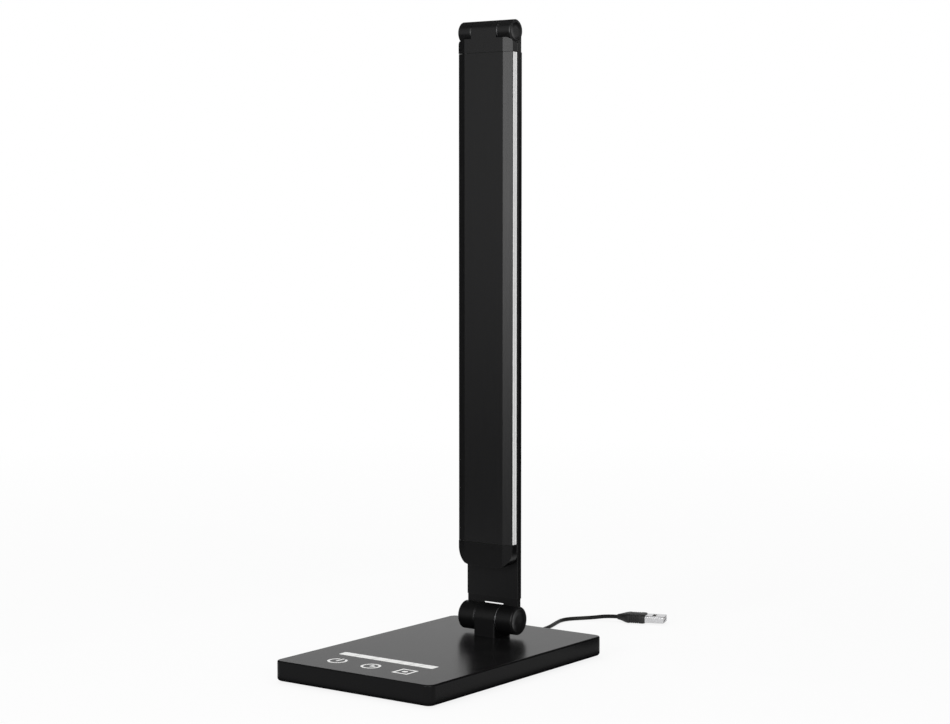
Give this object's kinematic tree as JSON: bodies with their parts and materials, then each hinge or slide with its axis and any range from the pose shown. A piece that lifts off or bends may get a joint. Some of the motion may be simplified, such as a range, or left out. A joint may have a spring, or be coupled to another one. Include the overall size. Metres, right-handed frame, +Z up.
{
  "type": "led desk lamp",
  "caption": "Folding desk lamp: flat rectangular base with touch keys, slim hinged arm and a long facetted light bar with an opal diffuser, fed by a thin cord with a plug.",
  "frame": {"origin": "centre of the base's footprint, on the surface it stands on", "axes": "+X to the user's right along the base's front edge, +Y from the user towards the back, +Z up"},
  "size_m": [0.1299, 0.297, 0.3962],
  "materials": {
    "base_shell": "satin black moulded plastic",
    "black_plastic": "fine matte black moulded plastic",
    "weight_steel": "plain steel plate",
    "foot_rubber": "matte black rubber",
    "screw_steel": "zinc plated steel",
    "black_screw": "black oxide steel",
    "circuit_board": "green solder mask on glass fibre board",
    "light_window": "white translucent plastic",
    "post_metal": "matte black powder coat",
    "arm_alloy": "matte black anodised extrusion",
    "head_alloy": "matte black anodised extrusion",
    "opal": "opal white diffuser plastic",
    "tape": "grey thermal tape",
    "led_board_face": "white solder mask on aluminium board",
    "led_phosphor": "yellow phosphor over white package",
    "cord_jacket": "matte black cable jacket",
    "tie_strap": "black plastic strap",
    "plug_grip": "matte black moulded grip",
    "plug_metal": "plated steel",
    "plug_insulator": "white insulator"
  },
  "bodies": {
    "base": {"base_top_shell": "base_shell", "base_bottom_cover": "black_plastic", "base_weight": "weight_steel", "rubber_feet": "foot_rubber", "base_screws": "screw_steel", "board_screws": "screw_steel", "touch_board": "circuit_board", "brightness_bar": "light_window", "power_icon": "light_window", "timer_icon": "light_window", "mode_icon": "light_window", "hinge_post": "post_metal", "post_screws": "screw_steel", "supply_lead": "cord_jacket", "cord_gland": "cord_jacket", "cord_coil": "cord_jacket", "cord_tail": "cord_jacket", "cord_tie": "tie_strap", "usb_plug_grip": "plug_grip", "usb_plug_shell": "plug_metal", "usb_plug_tongue": "plug_insulator"},
    "arm": {"arm_tube": "arm_alloy", "arm_lower_bracket": "black_plastic", "arm_upper_bracket": "black_plastic", "arm_screws": "black_screw", "arm_lead": "cord_jacket", "lower_hinge_shaft": "screw_steel", "lower_hinge_nut": "screw_steel", "lower_friction_washers": "screw_steel", "lower_cap_left": "black_plastic", "lower_cap_right": "black_plastic", "upper_hinge_shaft": "screw_steel", "upper_hinge_nut": "screw_steel", "upper_friction_washers": "screw_steel", "upper_cap_left": "black_plastic", "upper_cap_right": "black_plastic"},
    "head": {"head_cover": "head_alloy", "diffuser": "opal", "head_end_cap": "black_plastic", "head_hinge_cap": "black_plastic", "head_screws": "screw_steel", "thermal_tape": "tape", "led_board": "led_board_face", "leds": "led_phosphor"}
  },
  "joints": [
    {"name": "arm_tilt", "type": "hinge", "parent": "base", "child": "arm", "pos_m": [0, 0.0513, 0.0238], "axis": [1, 0, 0], "range_deg": [-45, 90]},
    {"name": "head_tilt", "type": "hinge", "parent": "arm", "child": "head", "pos_m": [0, 0.0487, 0.38925], "axis": [-1, 0, 0], "range_deg": [0, 150]}
  ]
}
